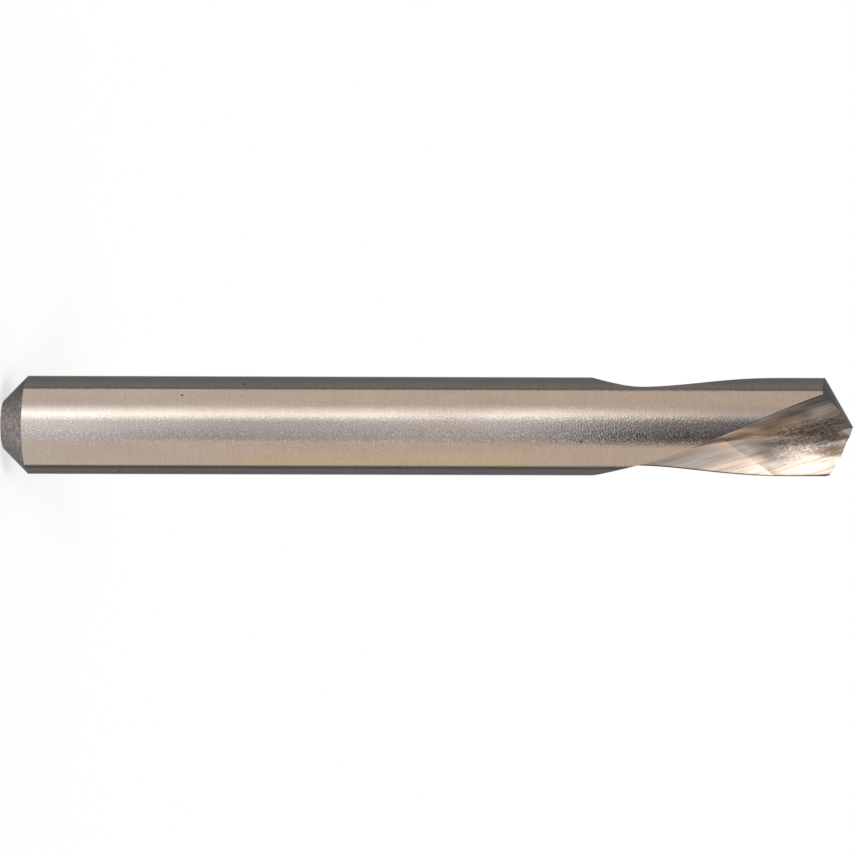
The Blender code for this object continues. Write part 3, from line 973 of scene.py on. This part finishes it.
def flute_light_paint(tree, across, up):
    """The light that only the flutes mirror, through the gap between the front cards."""
    rise = ramp(tree, up, levels(FLUTE_LIGHT_UP, up_card))
    fade = ramp(tree, across, masks(FLUTE_LIGHT_ACROSS))
    return mix(tree, 1.0, (*shown(1.0), 1.0), multiply(tree, rise, fade), "ADD")


def upright_paint(pairs):
    """A dark card whose level changes up the shank."""

    def paint(tree, across, up):
        return ramp(tree, up, levels(pairs, up_card, DARK_TINT))

    return paint


def beside_paint(pairs):
    """A dark card whose level changes across it. Its far end is soft low on the shank and hard at the point."""

    def paint(tree, across, up):
        share = ramp(tree, up, masks(END_CHANGES_UP, up_card))
        soft, hard = (
            ramp(tree, across, levels((*pairs, (1.0, end)), float, DARK_TINT)) for end in (SOFT_END, HARD_END)
        )
        return mix(tree, share, soft, hard)

    return paint


def cards():
    """The front cards, the light behind their gap, and the dark cards beside, behind and over the drill."""
    low, high = CARD_SPAN
    gap_low, gap_high = FRONT_GAP
    card("card_front_low", CARD_RADIUS, FRONT_SHARES, (low, gap_low), front_paint)
    card("card_front_far", FAR_CARD_RADIUS, FRONT_SHARES, (gap_low, gap_high), front_paint)
    card("card_front_high", CARD_RADIUS, FRONT_SHARES, (gap_high, high), front_paint)
    card("card_flute_light", FAR_CARD_RADIUS, FLUTE_LIGHT_SHARES, FLUTE_LIGHT_SPAN, flute_light_paint)
    tall = (low, DARK_TOP)
    card("card_above", NEAR_CARD_RADIUS, (FRONT_SHARES[0], 1.0), tall, beside_paint(ABOVE_ACROSS))
    card("card_below", NEAR_CARD_RADIUS, (FRONT_SHARES[1], -1.0), tall, beside_paint(BELOW_ACROSS))
    behind = 1.0 + asin(BAR_RADIUS / CARD_RADIUS)
    behind_span = (BEHIND_FOOT, DARK_TOP)
    card("card_behind_above", CARD_RADIUS, (BEHIND_SHARE, behind), behind_span, upright_paint(BEHIND_UP))
    card("card_behind_below", CARD_RADIUS, (-BEHIND_SHARE, -behind), behind_span, upright_paint(BEHIND_UP))
    over_shares = (OVER_POINT_SHARE, FRONT_SHARES[1])
    card("card_over_point", CARD_RADIUS, over_shares, (OVER_POINT_FOOT, DARK_TOP), upright_paint(OVER_POINT_UP))


def studio_world():
    """White for what the camera and the steel see of it, and a plain level for what it lights."""
    world = bpy.data.worlds.new("studio")
    bpy.context.scene.world = world
    world.use_nodes = True
    tree = world.node_tree
    tree.nodes.clear()
    path = node(tree, "ShaderNodeLightPath").outputs
    seen = calculate(tree, "MAXIMUM", path["Is Camera Ray"], path["Is Glossy Ray"])
    seen = calculate(tree, "MAXIMUM", seen, path["Is Transmission Ray"])
    strength = node(tree, "ShaderNodeMapRange", {"Value": seen, "To Min": WORLD_LEVEL, "To Max": 1.0})
    white = node(tree, "ShaderNodeBackground", {"Color": grey(1.0), "Strength": strength.outputs["Result"]})
    node(tree, "ShaderNodeOutputWorld", {"Surface": white.outputs["Background"]})


def studio_floor():
    """A pale floor. To the camera it is as white as the backdrop, apart from the drill's shadow."""
    bm = bmesh.new()
    corners = ((-1, -1), (1, -1), (1, 1), (-1, 1))
    bm.faces.new([bm.verts.new((FLOOR_REACH * x, FLOOR_REACH * y, 0.0)) for x, y in corners])
    floor = new_object("floor", bm)
    material = bpy.data.materials.new("pale_floor")
    material.use_nodes = True
    tree = material.node_tree
    tree.nodes.clear()
    path = node(tree, "ShaderNodeLightPath").outputs
    paint = node(tree, "ShaderNodeBsdfDiffuse", {"Color": grey(FLOOR_LIT_SHARE)})
    glow = node(tree, "ShaderNodeEmission", {"Color": grey(1.0), "Strength": 1.0 - FLOOR_LIT_SHARE})
    white = node(tree, "ShaderNodeAddShader", {0: paint.outputs["BSDF"], 1: glow.outputs["Emission"]})
    pale = node(tree, "ShaderNodeBsdfDiffuse", {"Color": grey(FLOOR_PALE)})
    by_ray = {"Fac": path["Is Camera Ray"], 1: pale.outputs["BSDF"], 2: white.outputs["Shader"]}
    surface = node(tree, "ShaderNodeMixShader", by_ray)
    node(tree, "ShaderNodeOutputMaterial", {"Surface": surface.outputs["Shader"]})
    floor.data.materials.append(material)
    # The steel mirrors the cards and the white world in the floor's place, which is as white.
    floor.visible_glossy = False


def soft_light():
    """One wide soft light from the camera's side, so that the shadow falls behind the drill."""
    light = bpy.data.lights.new("soft_light", "SUN")
    light.angle = radians(LIGHT_SPREAD)
    light.energy = (1.0 - WORLD_LEVEL) * pi / sin(radians(LIGHT_ELEVATION))
    thing = bpy.data.objects.new("soft_light", light)
    thing.rotation_euler = (radians(SQUARE - LIGHT_ELEVATION), 0.0, 0.0)
    thing.visible_glossy = False
    bpy.context.scene.collection.objects.link(thing)


def photo_camera():
    """The camera looks along +Y at the drill's axis, rolled so that the point is at the picture's right."""
    middle = IMAGE_SIZE / 2
    target = Vector(((middle - AXIS_ROW) * PIXEL, 0.0, CAMERA_HEIGHT))
    view = Matrix(((0.0, -1.0, 0.0), (0.0, 0.0, -1.0), (1.0, 0.0, 0.0))).to_4x4()
    view.translation = target + Vector((0.0, -CAMERA_DISTANCE, 0.0))
    data = bpy.data.cameras.new("photo_camera")
    data.sensor_width = SENSOR
    data.lens = SENSOR * CAMERA_DISTANCE / (IMAGE_SIZE * PIXEL)
    data.clip_start = CAMERA_DISTANCE / 100
    data.clip_end = 100 * CAMERA_DISTANCE
    camera = bpy.data.objects.new("photo_camera", data)
    camera.matrix_world = view @ Matrix.Rotation(radians(CAMERA_ROLL), 4, "Z")
    bpy.context.scene.collection.objects.link(camera)
    bpy.context.scene.camera = camera


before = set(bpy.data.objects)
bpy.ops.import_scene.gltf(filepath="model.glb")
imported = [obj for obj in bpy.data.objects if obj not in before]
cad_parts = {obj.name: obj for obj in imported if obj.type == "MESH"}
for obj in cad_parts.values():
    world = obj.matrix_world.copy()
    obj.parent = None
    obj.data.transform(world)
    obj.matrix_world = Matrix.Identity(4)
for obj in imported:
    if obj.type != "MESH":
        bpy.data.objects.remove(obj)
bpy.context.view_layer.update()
bpy.context.scene.view_settings.view_transform = "Standard"
photo_camera()
studio_world()
studio_floor()
soft_light()
cards()
drill = fine_drill()
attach(drill, "root")
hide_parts("spotting_drill")
